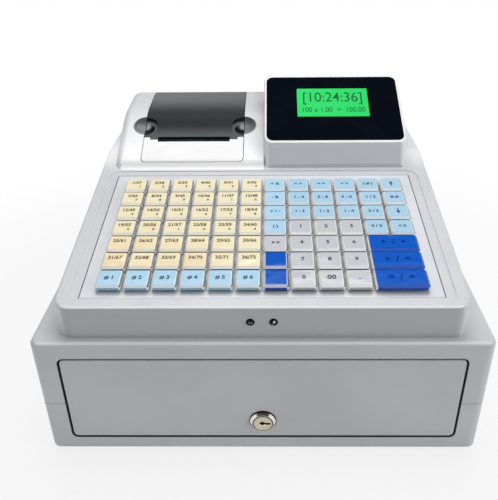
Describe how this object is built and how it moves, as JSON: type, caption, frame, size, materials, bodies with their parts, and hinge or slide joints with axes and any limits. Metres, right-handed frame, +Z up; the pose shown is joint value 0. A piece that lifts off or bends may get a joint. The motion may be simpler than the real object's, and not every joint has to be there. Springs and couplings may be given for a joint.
{
  "type": "electronic cash register",
  "caption": "Electronic cash register with a sloping keyboard, a receipt printer under a hinged lid, a raised display pod and a locking cash drawer below.",
  "frame": {"origin": "on the surface that the feet stand on, under the middle of the whole object", "axes": "+X to the right as seen from the keyboard side, +Y to the rear, +Z up"},
  "size_m": [0.317, 0.333, 0.2126],
  "materials": {
    "case_grey": "fine matt moulding",
    "housing_light": "fine matt moulding",
    "hump_white": "fine matt moulding",
    "smoke_plastic": "gloss",
    "black_plastic": "matt",
    "window_black": "gloss",
    "screen_green": "lit screen",
    "rubber_black": "matt",
    "zinc_steel": "zinc plated",
    "painted_steel": "satin paint",
    "lock_chrome": "polished",
    "plate_silver": "satin",
    "board_green": "circuit board",
    "copper_coil": "taped coil on a steel plate",
    "lamp_lens": "dark lens",
    "paper_white": "paper",
    "keys_cream": "clear cap over a printed slip",
    "keys_blue": "clear cap over a printed slip",
    "keys_grey": "clear cap over a printed slip",
    "keys_dark": "clear cap over a printed slip"
  },
  "bodies": {
    "case": {"base_lower_shell": "case_grey", "base_upper_shell": "case_grey", "rubber_feet": "rubber_black", "case_screws": "zinc_steel", "slide_rails": "zinc_steel", "latch_solenoid": "copper_coil", "opening_spring": "zinc_steel", "register_pan": "zinc_steel", "upper_housing": "housing_light", "indicator_lamps": "lamp_lens", "key_plate": "plate_silver", "key_switches": "black_plastic", "main_board": "board_green", "printer_frame": "black_plastic", "print_head": "plate_silver", "feed_motor": "zinc_steel", "printer_cover": "hump_white", "display_pod": "hump_white", "display_window": "window_black", "lcd_module": "screen_green", "customer_window": "window_black", "port_panel": "black_plastic"},
    "drawer": {"drawer_front": "case_grey", "drawer_tub": "painted_steel", "till_insert": "black_plastic", "clip_rod": "zinc_steel", "lock_cylinder": "lock_chrome"},
    "lock": {"lock_plug": "lock_chrome", "lock_cam": "zinc_steel"},
    "clip_1": {"bill_clip_1": "black_plastic"},
    "clip_2": {"bill_clip_2": "black_plastic"},
    "clip_3": {"bill_clip_3": "black_plastic"},
    "lever": {"latch_lever": "zinc_steel"},
    "plunger": {"latch_plunger": "zinc_steel"},
    "lid": {"printer_lid": "smoke_plastic", "tear_bar": "zinc_steel"},
    "roller": {"platen_roller": "rubber_black"},
    "roll": {"paper_roll": "paper_white"},
    "rocker": {"power_switch": "black_plastic"},
    "key_0_body": {"key_0": "keys_grey"},
    "key_1_body": {"key_1": "keys_grey"},
    "key_2_body": {"key_2": "keys_grey"},
    "key_3_body": {"key_3": "keys_grey"},
    "key_4_body": {"key_4": "keys_grey"},
    "key_5_body": {"key_5": "keys_grey"},
    "key_6_body": {"key_6": "keys_grey"},
    "key_7_body": {"key_7": "keys_grey"},
    "key_8_body": {"key_8": "keys_grey"},
    "key_9_body": {"key_9": "keys_grey"},
    "key_00_body": {"key_00": "keys_grey"},
    "key_point_body": {"key_point": "keys_grey"},
    "wide_key_front_body": {"wide_key_front": "keys_dark"},
    "wide_key_middle_body": {"wide_key_middle": "keys_dark"},
    "wide_key_rear_body": {"wide_key_rear": "keys_dark"},
    "item_keys_front_body": {"item_keys_front": "keys_cream"},
    "item_keys_middle_body": {"item_keys_middle": "keys_cream"},
    "item_keys_rear_body": {"item_keys_rear": "keys_cream"},
    "function_keys_body": {"function_keys": "keys_blue"},
    "upper_keys_body": {"upper_keys": "keys_blue"},
    "right_keys_body": {"right_keys": "keys_blue"}
  },
  "joints": [
    {"name": "drawer_slide", "type": "slide", "parent": "case", "child": "drawer", "axis": [0, -1, 0], "range_m": [0, 0.215]},
    {"name": "lid_hinge", "type": "hinge", "parent": "case", "child": "lid", "pos_m": [-0.0625, 0.13269, 0.1844], "axis": [-1, 0, 0], "range_deg": [0, 80]},
    {"name": "lock_turn", "type": "hinge", "parent": "drawer", "child": "lock", "pos_m": [0, -0.1635, 0.0315], "axis": [0, 1, 0], "range_deg": [0, 90]},
    {"name": "clip_turn_1", "type": "hinge", "parent": "drawer", "child": "clip_1", "pos_m": [-0.086, 0.0755, 0.0496], "axis": [-1, 0, 0], "range_deg": [0, 80], "stiffness_Nm_per_rad": 0.02, "springref_deg": -28.65},
    {"name": "clip_turn_2", "type": "hinge", "parent": "drawer", "child": "clip_2", "pos_m": [0, 0.0755, 0.0496], "axis": [-1, 0, 0], "range_deg": [0, 80], "stiffness_Nm_per_rad": 0.02, "springref_deg": -28.65},
    {"name": "clip_turn_3", "type": "hinge", "parent": "drawer", "child": "clip_3", "pos_m": [0.086, 0.0755, 0.0496], "axis": [-1, 0, 0], "range_deg": [0, 80], "stiffness_Nm_per_rad": 0.02, "springref_deg": -28.65},
    {"name": "latch_turn", "type": "hinge", "parent": "case", "child": "lever", "pos_m": [0.022, 0.1185, 0.0201], "axis": [0, 0, 1], "range_deg": [-12, 0]},
    {"name": "plunger_slide", "type": "slide", "parent": "case", "child": "plunger", "axis": [0, 1, 0], "range_m": [-0.0038, 0]},
    {"name": "switch_turn", "type": "hinge", "parent": "case", "child": "rocker", "pos_m": [0.101, 0.14901, 0.1245], "axis": [1, 0, 0], "range_deg": [0, 16]},
    {"name": "roller_spin", "type": "hinge", "parent": "case", "child": "roller", "pos_m": [-0.0625, 0.04251, 0.16035], "axis": [1, 0, 0], "continuous": true},
    {"name": "roll_spin", "type": "hinge", "parent": "case", "child": "roll", "pos_m": [-0.0625, 0.09451, 0.147], "axis": [1, 0, 0], "continuous": true},
    {"name": "key_0_press", "type": "slide", "parent": "case", "child": "key_0_body", "axis": [0, 0.165, -0.9863], "range_m": [0, 0.002], "stiffness_N_per_m": 300, "springref_m": -0.001},
    {"name": "key_1_press", "type": "slide", "parent": "case", "child": "key_1_body", "axis": [0, 0.165, -0.9863], "range_m": [0, 0.002], "stiffness_N_per_m": 300, "springref_m": -0.001},
    {"name": "key_2_press", "type": "slide", "parent": "case", "child": "key_2_body", "axis": [0, 0.165, -0.9863], "range_m": [0, 0.002], "stiffness_N_per_m": 300, "springref_m": -0.001},
    {"name": "key_3_press", "type": "slide", "parent": "case", "child": "key_3_body", "axis": [0, 0.165, -0.9863], "range_m": [0, 0.002], "stiffness_N_per_m": 300, "springref_m": -0.001},
    {"name": "key_4_press", "type": "slide", "parent": "case", "child": "key_4_body", "axis": [0, 0.165, -0.9863], "range_m": [0, 0.002], "stiffness_N_per_m": 300, "springref_m": -0.001},
    {"name": "key_5_press", "type": "slide", "parent": "case", "child": "key_5_body", "axis": [0, 0.165, -0.9863], "range_m": [0, 0.002], "stiffness_N_per_m": 300, "springref_m": -0.001},
    {"name": "key_6_press", "type": "slide", "parent": "case", "child": "key_6_body", "axis": [0, 0.165, -0.9863], "range_m": [0, 0.002], "stiffness_N_per_m": 300, "springref_m": -0.001},
    {"name": "key_7_press", "type": "slide", "parent": "case", "child": "key_7_body", "axis": [0, 0.165, -0.9863], "range_m": [0, 0.002], "stiffness_N_per_m": 300, "springref_m": -0.001},
    {"name": "key_8_press", "type": "slide", "parent": "case", "child": "key_8_body", "axis": [0, 0.165, -0.9863], "range_m": [0, 0.002], "stiffness_N_per_m": 300, "springref_m": -0.001},
    {"name": "key_9_press", "type": "slide", "parent": "case", "child": "key_9_body", "axis": [0, 0.165, -0.9863], "range_m": [0, 0.002], "stiffness_N_per_m": 300, "springref_m": -0.001},
    {"name": "key_00_press", "type": "slide", "parent": "case", "child": "key_00_body", "axis": [0, 0.165, -0.9863], "range_m": [0, 0.002], "stiffness_N_per_m": 300, "springref_m": -0.001},
    {"name": "key_point_press", "type": "slide", "parent": "case", "child": "key_point_body", "axis": [0, 0.165, -0.9863], "range_m": [0, 0.002], "stiffness_N_per_m": 300, "springref_m": -0.001},
    {"name": "wide_key_front_press", "type": "slide", "parent": "case", "child": "wide_key_front_body", "axis": [0, 0.165, -0.9863], "range_m": [0, 0.002], "stiffness_N_per_m": 300, "springref_m": -0.001},
    {"name": "wide_key_middle_press", "type": "slide", "parent": "case", "child": "wide_key_middle_body", "axis": [0, 0.165, -0.9863], "range_m": [0, 0.002], "stiffness_N_per_m": 300, "springref_m": -0.001},
    {"name": "wide_key_rear_press", "type": "slide", "parent": "case", "child": "wide_key_rear_body", "axis": [0, 0.165, -0.9863], "range_m": [0, 0.002], "stiffness_N_per_m": 300, "springref_m": -0.001},
    {"name": "item_keys_front_press", "type": "slide", "parent": "case", "child": "item_keys_front_body", "axis": [0, 0.165, -0.9863], "range_m": [0, 0.002], "stiffness_N_per_m": 3600, "springref_m": -0.001},
    {"name": "item_keys_middle_press", "type": "slide", "parent": "case", "child": "item_keys_middle_body", "axis": [0, 0.165, -0.9863], "range_m": [0, 0.002], "stiffness_N_per_m": 3600, "springref_m": -0.001},
    {"name": "item_keys_rear_press", "type": "slide", "parent": "case", "child": "item_keys_rear_body", "axis": [0, 0.165, -0.9863], "range_m": [0, 0.002], "stiffness_N_per_m": 3600, "springref_m": -0.001},
    {"name": "function_keys_press", "type": "slide", "parent": "case", "child": "function_keys_body", "axis": [0, 0.165, -0.9863], "range_m": [0, 0.002], "stiffness_N_per_m": 3900, "springref_m": -0.001},
    {"name": "upper_keys_press", "type": "slide", "parent": "case", "child": "upper_keys_body", "axis": [0, 0.165, -0.9863], "range_m": [0, 0.002], "stiffness_N_per_m": 2700, "springref_m": -0.001},
    {"name": "right_keys_press", "type": "slide", "parent": "case", "child": "right_keys_body", "axis": [0, 0.165, -0.9863], "range_m": [0, 0.002], "stiffness_N_per_m": 2400, "springref_m": -0.001}
  ],
  "couplings": [
    {"joint": "plunger_slide", "follows": "latch_turn", "m_per_rad": 0.018}
  ]
}
